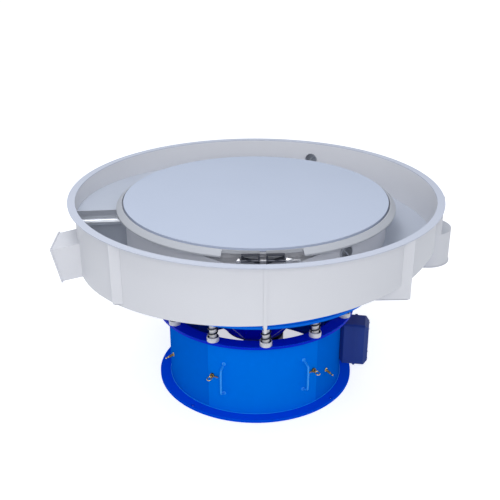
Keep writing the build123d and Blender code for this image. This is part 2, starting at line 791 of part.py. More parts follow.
# Seam straps outside the wall, each with a bracket plate under the floor
def seam_strap(angle):
    """Strap over a seam with a tapering tab below and a plate back to the shell."""
    level = seam_level(angle)
    strap = block(seat_r, seat_r + strap_t, -strap_width / 2, strap_width / 2, level - floor_t, rim_low)
    tab_top = level - floor_t
    tab_low = tab_top - strap_tab
    tab_outline = Polyline(
        (0, -strap_width / 2, tab_top), (0, strap_width / 2, tab_top),
        (0, strap_tab_end / 2, tab_low), (0, -strap_tab_end / 2, tab_low), close=True,
    )
    tab = Pos(seat_r, 0, 0) * extrude(make_face(tab_outline), strap_t, dir=(1, 0, 0))
    top = level - floor_t - bracket_top_gap
    plate_out = seat_r + strap_t
    plate_points = [
        (floor_in_r, bracket_foot_level), (plate_out, top - strap_tab), (plate_out, top), (floor_in_r, top),
    ]
    return Rot(0, 0, angle) * (strap + tab + radial_plate(plate_points, bracket_t, 0))


parts["seam_strap_front"] = seam_strap(front_seam_angle)
parts["seam_strap_back"] = seam_strap(back_seam_angle)

# Corner boxes below the floor, their outer corners standing out past the wall
inside_trough = under_floor(0)
inside_trough_thick = under_floor(corner_box_wall)


def corner_box(sign_x, sign_y, stretch):
    """Square box between shell and rim, cut to the floor's underside and the wall."""
    near = shell_r * math.cos(math.radians(45)) + corner_box_shell_gap
    far = wall_r * math.cos(math.radians(45)) + corner_box_proud
    box = block(near, far, near, far, corner_box_low, rim_low - seat_gap)
    corner_edges = [e for e in box.faces().sort_by(Axis.Z)[0].edges()
                    if max(e.center().X, e.center().Y) > far - corner_box_wall]
    box = chamfer(corner_edges, corner_box_bevel)
    w = corner_box_wall
    hollow = block(near + w, far - w, near + w, far - w, corner_box_low + w, rim_low - seat_gap - w)
    drain = Pos((near + far) / 2, (near + far) / 2, 0) * disc(drain_hole_r, corner_box_low, corner_box_low + w)
    turn = {(1, 1): 0, (-1, 1): 90, (-1, -1): 180, (1, -1): 270}[(sign_x, sign_y)]
    outer = Rot(0, 0, turn) * (box - drain) - inside_trough[stretch]
    inner = Rot(0, 0, turn) * hollow - inside_trough_thick[stretch]
    return outer - inner


box_corners = {"corner_box_right": ((1, -1, "front_right"), (1, 1, "back_right")),
               "corner_box_left": ((-1, -1, "front_left"), (-1, 1, "back_left"))}
for node, corners in box_corners.items():
    parts[node] = group(corner_box(*corner) for corner in corners)


# Fines duct under the landing and its round spout
def duct_prism(grow, low, high):
    """Straight-sided duct with a half-round end, between two levels."""
    r = spout_r + grow
    prism = block(duct_start_x, spout_x, -r, r, low, high)
    return prism + Pos(spout_x, 0, 0) * disc(r, low, high)


duct = duct_prism(0, duct_low, duct_top) - duct_prism(-duct_side, duct_low + duct_wall, duct_top - duct_wall)
duct -= Pos(spout_x, 0, 0) * disc(spout_r - duct_wall, duct_low, duct_low + duct_wall)
duct -= disc(floor_in_r, duct_low, duct_top)
parts["fines_duct"] = duct
spout_low = duct_low - spout_length
spout = ring(spout_r - duct_wall, spout_r, spout_low, duct_low)
spout += ring(spout_r - duct_wall, spout_r + spout_lip, spout_low, spout_low + spout_lip)
parts["fines_spout"] = Pos(spout_x, 0, 0) * spout

# Stay between the duct's lid and the rim
stay = block(wall_in_r, wall_r + stay_out, -spout_r, -spout_r + stay_t, duct_top, rim_low - seat_gap)
parts["rim_stay"] = stay - disc(seat_r, 0, trough_top)

# Clamp band: a strap with a sloping skirt in two halves, the skirt cut away at the windows
band_in_r = shell_flange_r + seat_gap
band_mid_r = band_in_r + band_t
band_skirt_r = shell_flange_r + band_skirt_width
lip_low = band_skirt_level - band_lip
band_points = [
    (band_in_r, band_low), (band_mid_r, band_low), (band_mid_r, band_top - 2 * band_t),
    (band_skirt_r - band_t, band_skirt_level - band_t / 2), (band_skirt_r - band_t, lip_low),
    (band_skirt_r, lip_low), (band_skirt_r, band_skirt_level), (band_mid_r, band_top), (band_in_r, band_top),
]

# Lugs: folded strap loops with the bolt's sleeve, wide at the gap, drawn for the right front
lug_inner_x = band_mid_r * math.sin(math.radians(band_open_angle))
lug_outer_x = lug_inner_x + lug_length
lug_y = band_mid_r + seat_gap
bolt_y = lug_y + lug_depth / 2
lug_low = bolt_level - lug_below_bolt
lug_high = bolt_level + lug_above_bolt
lug_tip_low = lug_high - lug_tip_height
lug_outline = [
    (lug_inner_x, lug_low), (lug_outer_x, lug_tip_low), (lug_outer_x, lug_high), (lug_inner_x, lug_high),
]
lug_slope = (lug_tip_low - lug_low) / lug_length
lug_open_x = (lug_inner_x + lug_end_t, lug_outer_x - lug_strap_t)
lug_open_low = [lug_low + lug_strap_t + (x - lug_inner_x) * lug_slope for x in lug_open_x]
lug_opening = [
    (lug_open_x[0], lug_open_low[0]), (lug_open_x[1], lug_open_low[1]),
    (lug_open_x[1], lug_high - lug_strap_t), (lug_open_x[0], lug_high - lug_strap_t),
]
sleeve_start = lug_inner_x + lug_end_t / 2
sleeve_end = lug_outer_x + clamp_sleeve_past_lug


def lug_plate(points, y_low, y_high):
    """Flat plate across the front from (x, level) points."""
    outline = Polyline(*[(x, 0, z) for x, z in points], close=True)
    return Pos(0, -y_low, 0) * extrude(make_face(outline), y_high - y_low, dir=(0, -1, 0))


def along_bolt(r, x_low, x_high):
    """Cylinder on the clamp bolt's axis at the front."""
    rod = Cylinder(r, x_high - x_low, align=(Align.CENTER, Align.CENTER, Align.MIN))
    return Pos(x_low, -bolt_y, bolt_level) * Rot(0, 90, 0) * rod


lug = lug_plate(lug_outline, lug_y, lug_y + lug_depth)
lug -= lug_plate(lug_opening, lug_y - lug_depth, lug_y + 2 * lug_depth)
lug += along_bolt(clamp_sleeve_r, sleeve_start, sleeve_end)
lug -= along_bolt(bolt_r + run_gap, 0, 2 * sleeve_end)


def mirrored(shape, side, face):
    """The right front shape carried to the left side or to the back."""
    if side == -1:
        shape = mirror(shape, Plane.YZ)
    if face == 1:
        shape = mirror(shape, Plane.XZ)
    return shape


def band_half(side):
    """Half of the band; side is 1 on the right and -1 on the left."""
    start = front_seam_angle if side == 1 else back_seam_angle
    skirt_arc = 180 - 2 * window_flat_angle
    half = revolved(band_points, start + window_flat_angle, skirt_arc)
    strap_arc = 180 - 2 * band_open_angle
    return half + ring(band_in_r, band_mid_r, band_low, band_top, start + band_open_angle, strap_arc)


parts["clamp_band_right"] = band_half(1)
parts["clamp_band_left"] = band_half(-1)
sides_and_faces = ((1, -1), (-1, -1), (1, 1), (-1, 1))
parts["clamp_lugs"] = group(mirrored(lug, side, face) for side, face in sides_and_faces)

# Clamp bolts through the lugs, with a long nut at one end and a thin one at the other
parts["clamp_bolts"] = spread(along_bolt(bolt_r, -bolt_short_end, bolt_long_end), (0, 180))
nut_x = sleeve_end + seat_gap


def nut(x_low, x_high):
    """Hexagonal nut on the clamp bolt between two x values."""
    hexagon = extrude(RegularPolygon(nut_af / 2, 6, major_radius=False), x_high - x_low)
    body = Pos(x_low, -bolt_y, bolt_level) * Rot(0, 90, 0) * hexagon
    return body - along_bolt(bolt_r + run_gap, -2 * bolt_long_end, 2 * bolt_long_end)


nuts = (nut(nut_x, nut_x + long_nut_t), nut(-nut_x - thin_nut_t, -nut_x))
parts["clamp_nuts"] = group(Rot(0, 0, a) * n for n in nuts for a in (0, 180))


# Ports: a short collar through the sheet, closed at its far end, with a stay bar across
def port(sheet_face, far_face, mouth_side, angle, level):
    """Blind collar; mouth_side is 1 where its mouth looks outward and -1 where it looks inward."""
    mouth = sheet_face + mouth_side * port_proud
    end = far_face - mouth_side * port_depth
    low, high = sorted((mouth, end))
    tube = radial_rod(port_r, low, high, 0, level)
    inner = (end + mouth_side * port_wall, mouth)
    tube -= radial_rod(port_r - port_wall, min(inner), max(inner), 0, level)
    bar_body = Rot(port_bar_tilt, 0, 0) * Cylinder(port_bar_r, 2 * port_r - port_wall)
    tube += Pos((sheet_face + far_face) / 2, 0, level) * bar_body
    return Rot(0, 0, angle) * tube


shell_port = port(shell_r, shell_in_r, 1, shell_port_angle, shell_port_level)
wall_port = port(wall_in_r, wall_r, -1, wall_port_angle, wall_port_level)
parts["port_collars"] = group([shell_port, wall_port])

# Write every sub-part to its own file
os.makedirs("parts", exist_ok=True)
for name, shape in parts.items():
    export_step(shape, "parts/" + name + ".step")
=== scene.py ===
import math

import bmesh
import bpy
from mathutils import Matrix, Vector


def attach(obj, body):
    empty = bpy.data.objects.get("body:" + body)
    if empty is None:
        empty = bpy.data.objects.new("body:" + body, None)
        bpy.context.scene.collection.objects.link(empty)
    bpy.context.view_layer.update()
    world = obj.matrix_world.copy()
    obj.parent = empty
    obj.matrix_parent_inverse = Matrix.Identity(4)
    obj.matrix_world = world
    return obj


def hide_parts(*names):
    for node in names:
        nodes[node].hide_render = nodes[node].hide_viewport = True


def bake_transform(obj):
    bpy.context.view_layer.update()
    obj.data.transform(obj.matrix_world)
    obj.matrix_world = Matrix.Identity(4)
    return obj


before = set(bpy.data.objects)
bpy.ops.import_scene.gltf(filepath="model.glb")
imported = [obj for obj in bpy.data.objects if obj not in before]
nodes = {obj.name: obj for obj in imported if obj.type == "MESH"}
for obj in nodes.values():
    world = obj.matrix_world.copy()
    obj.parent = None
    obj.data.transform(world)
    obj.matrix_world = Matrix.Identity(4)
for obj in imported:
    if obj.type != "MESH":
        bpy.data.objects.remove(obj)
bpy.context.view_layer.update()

scene = bpy.context.scene
scene.view_settings.view_transform = "Standard"
print("frame loaded:", len(nodes), "nodes")

# Camera at the photograph's place, in metres
cameraSet = {
    "place": (-0.15504, -3.41428, 2.1705),
    "forward": (0.03415, 0.91313, -0.40622),
    "lens": 56.16,
    "sensor": 36.0,
    "farClip": 60.0,
}


def makeCamera(p):
    data = bpy.data.cameras.new("photoCamera")
    data.lens = p["lens"]
    data.sensor_width = p["sensor"]
    data.clip_end = p["farClip"]
    cam = bpy.data.objects.new("photoCamera", data)
    scene.collection.objects.link(cam)
    cam.location = p["place"]
    cam.rotation_mode = "QUATERNION"
    cam.rotation_quaternion = Vector(p["forward"]).to_track_quat("-Z", "Y")
    scene.camera = cam


makeCamera(cameraSet)
print("camera placed")


def newMaterial(name):
    mat = bpy.data.materials.new(name)
    mat.use_nodes = True
    mat.node_tree.nodes.clear()
    return mat


def addNode(tree, kind, **values):
    node = tree.nodes.new(kind)
    for key, value in values.items():
        setattr(node, key, value)
    return node


def wire(tree, a, aOut, b, bIn):
    tree.links.new(a.outputs[aOut], b.inputs[bIn])


def socket(tree, name, way, kind, value=None):
    made = tree.interface.new_socket(name=name, in_out=way, socket_type=kind)
    if value is not None:
        made.default_value = value


# Sprayed or brushed skin: mottled colour, uneven gloss, fine bump
skinSet = {"cloudDetail": 5.0, "cloudRough": 0.6, "cloudLow": 0.35, "cloudHigh": 0.75, "grainDetail": 2.0,
           "bumpDepth": 0.001}


def makeSkinGroup(p):
    tree = bpy.data.node_groups.new("paintSkin", "ShaderNodeTree")
    socket(tree, "Color", "INPUT", "NodeSocketColor", (0.8, 0.8, 0.8, 1))
    socket(tree, "Worn Color", "INPUT", "NodeSocketColor", (0.7, 0.7, 0.7, 1))
    socket(tree, "Mottle", "INPUT", "NodeSocketFloat", 0.15)
    socket(tree, "Mottle Scale", "INPUT", "NodeSocketFloat", 5.0)
    socket(tree, "Grain Scale", "INPUT", "NodeSocketFloat", 300.0)
    socket(tree, "Bump", "INPUT", "NodeSocketFloat", 0.05)
    socket(tree, "Roughness", "INPUT", "NodeSocketFloat", 0.4)
    socket(tree, "Roughness Spread", "INPUT", "NodeSocketFloat", 0.1)
    socket(tree, "Color", "OUTPUT", "NodeSocketColor")
    socket(tree, "Roughness", "OUTPUT", "NodeSocketFloat")
    socket(tree, "Normal", "OUTPUT", "NodeSocketVector")
    gin = addNode(tree, "NodeGroupInput")
    gout = addNode(tree, "NodeGroupOutput")
    coord = addNode(tree, "ShaderNodeTexCoord")
    cloud = addNode(tree, "ShaderNodeTexNoise")
    cloud.inputs["Detail"].default_value = p["cloudDetail"]
    cloud.inputs["Roughness"].default_value = p["cloudRough"]
    wire(tree, coord, "Object", cloud, "Vector")
    wire(tree, gin, "Mottle Scale", cloud, "Scale")
    amount = addNode(tree, "ShaderNodeMath", operation="MULTIPLY")
    spreadRange = addNode(tree, "ShaderNodeMapRange")
    spreadRange.inputs["From Min"].default_value = p["cloudLow"]
    spreadRange.inputs["From Max"].default_value = p["cloudHigh"]
    wire(tree, cloud, "Fac", spreadRange, "Value")
    wire(tree, spreadRange, "Result", amount, 0)
    wire(tree, gin, "Mottle", amount, 1)
    mix = addNode(tree, "ShaderNodeMix", data_type="RGBA")
    tree.links.new(amount.outputs[0], mix.inputs[0])
    tree.links.new(gin.outputs["Color"], mix.inputs[6])
    tree.links.new(gin.outputs["Worn Color"], mix.inputs[7])
    tree.links.new(mix.outputs[2], gout.inputs["Color"])
    rough = addNode(tree, "ShaderNodeMath", operation="MULTIPLY_ADD")
    wire(tree, cloud, "Fac", rough, 0)
    wire(tree, gin, "Roughness Spread", rough, 1)
    wire(tree, gin, "Roughness", rough, 2)
    wire(tree, rough, 0, gout, "Roughness")
    grain = addNode(tree, "ShaderNodeTexNoise")
    grain.inputs["Detail"].default_value = p["grainDetail"]
    wire(tree, coord, "Object", grain, "Vector")
    wire(tree, gin, "Grain Scale", grain, "Scale")
    bump = addNode(tree, "ShaderNodeBump")
    bump.inputs["Distance"].default_value = p["bumpDepth"]
    wire(tree, gin, "Bump", bump, "Strength")
    wire(tree, grain, "Fac", bump, "Height")
    wire(tree, bump, "Normal", gout, "Normal")
    return tree


skinGroup = makeSkinGroup(skinSet)


def paint(name, color, worn, mottle, mottleScale, grain, bump, rough, roughSpread, metallic=0.0, coat=0.0,
          coatRough=0.05, specular=0.5):
    mat = newMaterial(name)
    tree = mat.node_tree
    out = addNode(tree, "ShaderNodeOutputMaterial")
    bsdf = addNode(tree, "ShaderNodeBsdfPrincipled")
    skin = addNode(tree, "ShaderNodeGroup")
    skin.node_tree = skinGroup
    skin.inputs["Color"].default_value = (*color, 1)
    skin.inputs["Worn Color"].default_value = (*worn, 1)
    skin.inputs["Mottle"].default_value = mottle
    skin.inputs["Mottle Scale"].default_value = mottleScale
    skin.inputs["Grain Scale"].default_value = grain
    skin.inputs["Bump"].default_value = bump
    skin.inputs["Roughness"].default_value = rough
    skin.inputs["Roughness Spread"].default_value = roughSpread
    wire(tree, skin, "Color", bsdf, "Base Color")
    wire(tree, skin, "Roughness", bsdf, "Roughness")
    wire(tree, skin, "Normal", bsdf, "Normal")
    bsdf.inputs["Metallic"].default_value = metallic
    bsdf.inputs["Coat Weight"].default_value = coat
    bsdf.inputs["Coat Roughness"].default_value = coatRough
    bsdf.inputs["Specular IOR Level"].default_value = specular
    wire(tree, bsdf, "BSDF", out, "Surface")
    return mat


finishes = {
    "deckPaint": paint("deckPaint", (0.69, 0.695, 0.73), (0.645, 0.65, 0.69), 0.25, 3.0, 420, 0.03, 0.45,
                       0.12, specular=0.3),
    # Trough floor: the deck's paint made darker and bluer, painted shade inside the trough and painted blue
    # sky light
    "shadedFloorPaint": paint("shadedFloorPaint", (0.50, 0.535, 0.61), (0.44, 0.47, 0.55), 0.35, 4.0, 380, 0.05, 0.42,
                        0.14, specular=0.3),
    # Rim: the deck's off-white paint with a blue tint that paints the sky light on its upward face
    "rimPaintSkyTint": paint("rimPaintSkyTint", (0.54, 0.57, 0.66), (0.50, 0.53, 0.62), 0.2, 4.0, 420, 0.03, 0.4, 0.1,
                      specular=0.3),
    "drumPaint": paint("drumPaint", (0.0, 0.15, 0.74), (0.0, 0.125, 0.66), 0.3, 5.0, 500, 0.03, 0.45, 0.12,
                       specular=0.0),
    # Base flange: the drum's blue with less green, painted shade on the flange's front
    "flangeShadedPaint": paint("flangeShadedPaint", (0.0, 0.085, 0.82), (0.0, 0.07, 0.74), 0.3, 5.0, 500, 0.03, 0.45,
                         0.12, specular=0.0),
    "framePaint": paint("framePaint", (0.0, 0.16, 0.82), (0.0, 0.13, 0.74), 0.3, 5.0, 500, 0.03, 0.34, 0.12,
                        specular=0.05),
    # Motor tube and gussets: the base blue with almost no green, painted shade inside the drum
    "innerShadowBlue": paint("innerShadowBlue", (0.0, 0.010, 0.95), (0.0, 0.008, 0.85), 0.3, 6.0, 500, 0.04, 0.35, 0.12,
                       specular=0.1),
    "motorPaint": paint("motorPaint", (0.01, 0.03, 0.25), (0.01, 0.02, 0.18), 0.3, 9.0, 300, 0.12, 0.45, 0.1),
    "boxPaint": paint("boxPaint", (0.014, 0.042, 0.235), (0.010, 0.034, 0.19), 0.3, 12.0, 600, 0.08, 0.42,
                      0.1, specular=0.2),
    "nylon": paint("nylon", (0.74, 0.73, 0.72), (0.62, 0.61, 0.60), 0.25, 30.0, 900, 0.06, 0.45, 0.1),
    "springBlack": paint("springBlack", (0.010, 0.012, 0.014), (0.03, 0.03, 0.03), 0.3, 60.0, 900, 0.08, 0.28,
                         0.15, coat=0.3),
    "steel": paint("steel", (0.72, 0.72, 0.74), (0.52, 0.52, 0.54), 0.4, 60.0, 900, 0.08, 0.25, 0.15,
                   metallic=0.8),
    "brass": paint("brass", (0.86, 0.64, 0.27), (0.38, 0.25, 0.08), 0.5, 90.0, 900, 0.12, 0.24, 0.2,
                   metallic=1.0),
    "darkBrass": paint("darkBrass", (0.34, 0.23, 0.085), (0.10, 0.065, 0.025), 0.5, 120.0, 900, 0.15, 0.3,
                       0.2, metallic=1.0),
    "glandNylon": paint("glandNylon", (0.02, 0.02, 0.022), (0.04, 0.04, 0.04), 0.3, 60.0, 900, 0.1, 0.5, 0.1),
    "coreSteel": paint("coreSteel", (0.3, 0.3, 0.3), (0.18, 0.17, 0.16), 0.4, 20.0, 300, 0.2, 0.4, 0.2,
                       metallic=1.0),
    "rubber": paint("rubber", (0.20, 0.21, 0.25), (0.15, 0.16, 0.19), 0.3, 20.0, 700, 0.1, 0.6, 0.15),
    "bandPaint": paint("bandPaint", (0.46, 0.475, 0.51), (0.40, 0.415, 0.45), 0.3, 8.0, 600, 0.05, 0.48, 0.12,
                       specular=0.25),
    "lugSteel": paint("lugSteel", (0.12, 0.125, 0.15), (0.06, 0.062, 0.075), 0.4, 40.0, 700, 0.08, 0.22,
                      0.15, metallic=0.9),
    "stepSteel": paint("stepSteel", (0.46, 0.48, 0.52), (0.38, 0.40, 0.44), 0.3, 20.0, 700, 0.05, 0.24, 0.12,
                       metallic=0.55),
    # Screen ring: light paint with a blue tint that paints the sky light on its upward face
    "ringPaintSkyTint": paint("ringPaintSkyTint", (0.50, 0.56, 0.71), (0.42, 0.48, 0.62), 0.3, 20.0, 700, 0.05, 0.35, 0.12),
    "panelPaint": paint("panelPaint", (0.0, 0.185, 0.84), (0.0, 0.16, 0.76), 0.3, 5.0, 500, 0.03, 0.45, 0.12,
                        specular=0.0),
    # Handles: a lighter blue than the drum paint, painted highlight on the bent bars
    "handlePaintHighlight": paint("handlePaintHighlight", (0.02, 0.33, 0.95), (0.01, 0.26, 0.86), 0.3, 30.0, 700, 0.03, 0.28,
                         0.12, specular=0.3),
    # Brighter blue for the beads: painted highlight lines along the drum, ring and flange edges
    "highlightBlue": paint("highlightBlue", (0.0, 0.26, 0.92), (0.0, 0.21, 0.84), 0.3, 30.0, 240, 0.4, 0.3, 0.12,
                      specular=0.2),
    # Spring ring: a darker blue than the drum paint, painted shade on the ring's top face
    "paintedShadeBlue": paint("paintedShadeBlue", (0.0, 0.022, 0.62), (0.0, 0.018, 0.54), 0.3, 5.0, 500, 0.03, 0.34,
                       0.12, specular=0.05),
}


# Fine woven wire: two crossing waves of bump, about 1 mm apart
def makeMesh(p):
    mat = newMaterial("wovenWire")
    tree = mat.node_tree
    out = addNode(tree, "ShaderNodeOutputMaterial")
    bsdf = addNode(tree, "ShaderNodeBsdfPrincipled")
    coord = addNode(tree, "ShaderNodeTexCoord")
    waves = []
    for way in ("X", "Y"):
        wave = addNode(tree, "ShaderNodeTexWave", bands_direction=way)
        wave.inputs["Scale"].default_value = p["threads"]
        wire(tree, coord, "Object", wave, "Vector")
        waves.append(wave)
    weave = addNode(tree, "ShaderNodeMath", operation="MAXIMUM")
    wire(tree, waves[0], "Fac", weave, 0)
    wire(tree, waves[1], "Fac", weave, 1)
    cloud = addNode(tree, "ShaderNodeTexNoise")
    cloud.inputs["Scale"].default_value = p["cloudScale"]
    cloud.inputs["Detail"].default_value = p["cloudDetail"]
    wire(tree, coord, "Object", cloud, "Vector")
    tint = addNode(tree, "ShaderNodeMix", data_type="RGBA")
    tree.links.new(cloud.outputs["Fac"], tint.inputs[0])
    tint.inputs[6].default_value = (*p["dark"], 1)
    tint.inputs[7].default_value = (*p["pale"], 1)
    holes = addNode(tree, "ShaderNodeMix", data_type="RGBA", blend_type="MULTIPLY")
    holes.inputs[0].default_value = p["holes"]
    tree.links.new(tint.outputs[2], holes.inputs[6])
    tree.links.new(weave.outputs[0], holes.inputs[7])
    tree.links.new(holes.outputs[2], bsdf.inputs["Base Color"])
    bump = addNode(tree, "ShaderNodeBump")
    bump.inputs["Strength"].default_value = p["bump"]
    bump.inputs["Distance"].default_value = p["bumpDepth"]
    wire(tree, weave, 0, bump, "Height")
    wire(tree, bump, "Normal", bsdf, "Normal")
    bsdf.inputs["Roughness"].default_value = p["rough"]
    bsdf.inputs["Metallic"].default_value = p["metallic"]
    bsdf.inputs["Specular IOR Level"].default_value = p["specular"]
    wire(tree, bsdf, "BSDF", out, "Surface")
    return mat


# The mesh's dark and pale tints are its grey wire plus a blue tint that paints the sky reflection on the
# upward disc
meshSet = {"threads": 160.0, "cloudScale": 2.5, "cloudDetail": 4.0, "dark": (0.47, 0.525, 0.64),
           "pale": (0.51, 0.56, 0.68), "holes": 0.06, "bump": 0.12, "bumpDepth": 0.0005,
           "rough": 0.5, "metallic": 0.0, "specular": 0.25}
finishes["wovenWire"] = makeMesh(meshSet)
print("finishes made:", len(finishes))

nodeFinish = {
    "drumPaint": ["drum"],
    "panelPaint": ["access_panel"],
    "flangeShadedPaint": ["base_flange"],
    "paintedShadeBlue": ["spring_ring"],
    "framePaint": ["frame_plate", "frame_collar"],
    "innerShadowBlue": ["motor_tube", "gussets"],
    "motorPaint": ["motor_housing", "motor_top_cover", "motor_bottom_cover"],
    "boxPaint": ["terminal_box", "terminal_cover"],
    "deckPaint": ["trough_wall_left", "trough_wall_right", "seam_strap_front", "seam_strap_back",
                  "discharge_chute", "corner_box_left", "corner_box_right", "fines_duct", "fines_spout",
                  "rim_stay", "inner_shell", "shell_panels", "shell_flange", "bolt_recesses", "dome_pan"],
    "shadedFloorPaint": ["floor_back_left", "floor_back_right", "floor_landing", "floor_front_right",
                   "floor_front_left"],
    "rimPaintSkyTint": ["rim_left", "rim_right"],
    "bandPaint": ["clamp_band_left", "clamp_band_right"],
    "lugSteel": ["clamp_lugs"],
    "stepSteel": ["step_plate", "port_collars"],
    "ringPaintSkyTint": ["screen_ring"],
    "steel": ["motor_bolts"],
    "coreSteel": ["stator_core", "rotor_core", "motor_shaft", "upper_weight", "lower_weight"],
    "rubber": ["gasket"],
    "wovenWire": ["screen_mesh"],
}


def dress(obj, finish):
    obj.data.materials.clear()
    obj.data.materials.append(finishes[finish])


for finish, names in nodeFinish.items():
    for name in names:
        dress(nodes[name], finish)
print("nodes dressed:", sum(len(names) for names in nodeFinish.values()))

# The base is turned a little against the deck that stands on its springs
baseTurn = math.radians(3.15)
weldDist = 1e-6
baseFront = math.radians(-90) + baseTurn
outward = Matrix.Rotation(math.pi / 2, 4, "Y")
alongZ = Matrix.Rotation(math.pi / 2, 4, "X")


# Turn an outline of (radius, height) points about Z into a closed solid
def turned(bm, outline, steps):
    verts = [bm.verts.new((r, 0, z)) for r, z in outline]
    edges = [bm.edges.new(pair) for pair in zip(verts, verts[1:] + verts[:1])]
    bmesh.ops.spin(bm, geom=verts + edges, cent=(0, 0, 0), axis=(0, 0, 1), angle=2 * math.pi,
                   steps=steps, use_merge=True)
    bmesh.ops.remove_doubles(bm, verts=bm.verts[:], dist=weldDist)
    bmesh.ops.dissolve_degenerate(bm, edges=bm.edges[:], dist=weldDist)


# Copies of everything so far, turned about Z by each angle in turn
def spreadAround(bm, angles):
    first = bm.verts[:] + bm.edges[:] + bm.faces[:]
    for angle in angles[1:]:
        copy = bmesh.ops.duplicate(bm, geom=first)
        verts = [g for g in copy["geom"] if isinstance(g, bmesh.types.BMVert)]
        bmesh.ops.rotate(bm, verts=verts, cent=(0, 0, 0), matrix=Matrix.Rotation(angle - angles[0], 3, "Z"))
    bmesh.ops.rotate(bm, verts=bm.verts[:], cent=(0, 0, 0), matrix=Matrix.Rotation(angles[0], 3, "Z"))


# Add what one bmesh holds to another, moved by a matrix
def stamp(target, source, place):
    data = bpy.data.meshes.new("stamp")
    source.to_mesh(data)
    data.transform(place)
    target.from_mesh(data)
    bpy.data.meshes.remove(data)


# Turn one outline by itself, then add it where it goes
def stampTurned(target, outline, steps, place):
    part = bmesh.new()
    turned(part, outline, steps)
    stamp(target, part, place)
    part.free()


# Six-sided nut along Z, its middle at the origin, with the given edges softened
def sixSided(radius, thick, soften, endsOnly):
    nut = bmesh.new()
    bmesh.ops.create_cone(nut, cap_ends=True, segments=6, radius1=radius, radius2=radius, depth=thick)
    picked = nut.edges[:]
    if endsOnly:
        picked = [e for e in picked if abs(e.verts[0].co.z - e.verts[1].co.z) < weldDist]
    bmesh.ops.bevel(nut, geom=picked, offset=soften, segments=2, profile=0.5, affect="EDGES", material=-1)
    return nut


# Round section in an empty bmesh, ready to be pulled or spun
def section(bm, sides, radius, place):
    bmesh.ops.create_circle(bm, segments=sides, radius=radius, cap_ends=False, matrix=place)
    return bm.edges[:]


def edgesIn(geom):
    return [g for g in geom if isinstance(g, bmesh.types.BMEdge)]


def capEnds(bm, *ends):
    for edges in ends:
        bmesh.ops.contextual_create(bm, geom=edges)


def piece(name, bm, finish, body=None, stands=(), sharp=35.0):
    bmesh.ops.recalc_face_normals(bm, faces=bm.faces[:])
    for face in bm.faces:
        face.smooth = True
    for edge in bm.edges:
        if len(edge.link_faces) == 2 and edge.calc_face_angle(0.0) > math.radians(sharp):
            edge.smooth = False
    data = bpy.data.meshes.new(name)
    bm.to_mesh(data)
    bm.free()
    obj = bpy.data.objects.new(name, data)
    scene.collection.objects.link(obj)
    data.materials.append(finishes[finish])
    if stands:
        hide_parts(*stands)
    if body:
        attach(obj, body)
    return obj


# A round bar built as it is bent: straight runs and turns in the XZ plane, from a start and a heading
def bentBar(bm, radius, start, heading, moves, segments=12, turnSteps=6):
    tilt = Matrix.Rotation(math.pi / 2 - heading, 4, "Y")
    edges = section(bm, segments, radius, Matrix.Translation(start) @ tilt)
    firstEdges = edges
    place = Vector(start)
    for kind, amount, bendR in moves:
        if kind == "go":
            step = Vector((math.cos(heading), 0, math.sin(heading))) * amount
            grown = bmesh.ops.extrude_edge_only(bm, edges=edges)["geom"]
            newVerts = [g for g in grown if isinstance(g, bmesh.types.BMVert)]
            bmesh.ops.translate(bm, verts=newVerts, vec=step)
            edges = [e for e in edgesIn(grown) if all(v in newVerts for v in e.verts)]
            place = place + step
        else:
            side = 1 if amount > 0 else -1
            cent = place + Vector((-math.sin(heading), 0, math.cos(heading))) * bendR * side
            made = bmesh.ops.spin(bm, geom=edges, cent=cent, axis=(0, -1, 0), angle=amount, steps=turnSteps,
                                  use_merge=False)["geom_last"]
            edges = edgesIn(made)
            place = cent + Matrix.Rotation(amount, 3, (0, -1, 0)) @ (place - cent)
            heading += amount
    capEnds(bm, firstEdges, edges)


# Coil springs: dead turn at each end, open turns between, in round wire
springSet = {
    "count": 12, "circleR": 0.458, "low": 0.402, "high": 0.558, "coilR": 0.0205, "wireR": 0.0034,
    "deadTurns": 1.0, "deadPitch": 0.0072, "openTurns": 5.5, "stepsPerTurn": 24, "wireSides": 10,
}
springAngles = [baseFront + 2 * math.pi * i / springSet["count"] for i in range(springSet["count"])]


def makeSprings(p):
    bm = bmesh.new()
    start = Vector((p["circleR"] + p["coilR"], 0, p["low"] + p["wireR"]))
    edges = section(bm, p["wireSides"], p["wireR"], Matrix.Translation(start) @ alongZ)
    firstEdges = edges
    deadRise = p["deadTurns"] * p["deadPitch"]
    openRise = p["high"] - p["low"] - 2 * p["wireR"] - 2 * deadRise
    for turns, rise in ((p["deadTurns"], deadRise), (p["openTurns"], openRise), (p["deadTurns"], deadRise)):
        steps = round(turns * p["stepsPerTurn"])
        made = bmesh.ops.spin(bm, geom=edges, cent=(p["circleR"], 0, 0), axis=(0, 0, 1),
                              angle=2 * math.pi * turns, steps=steps, dvec=(0, 0, rise / steps),
                              use_merge=False)["geom_last"]
        edges = edgesIn(made)
    capEnds(bm, firstEdges, edges)
    spreadAround(bm, springAngles)
    obj = piece("coilSprings", bm, "springBlack", stands=("springs",))
    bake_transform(obj)


makeSprings(springSet)
print("springs wound")

# Nylon cups with rounded mouths; the lower ones carry the sleeve inside the coil
cupSet = {
    "floor": 0.004, "outR": 0.0276, "inR": 0.0252, "round": 0.0012, "lowerHeight": 0.022,
    "upperHeight": 0.018, "sleeveR": 0.016, "sleeveTop": 0.540, "baseTop": 0.398, "frameLow": 0.562,
    "steps": 40,
}


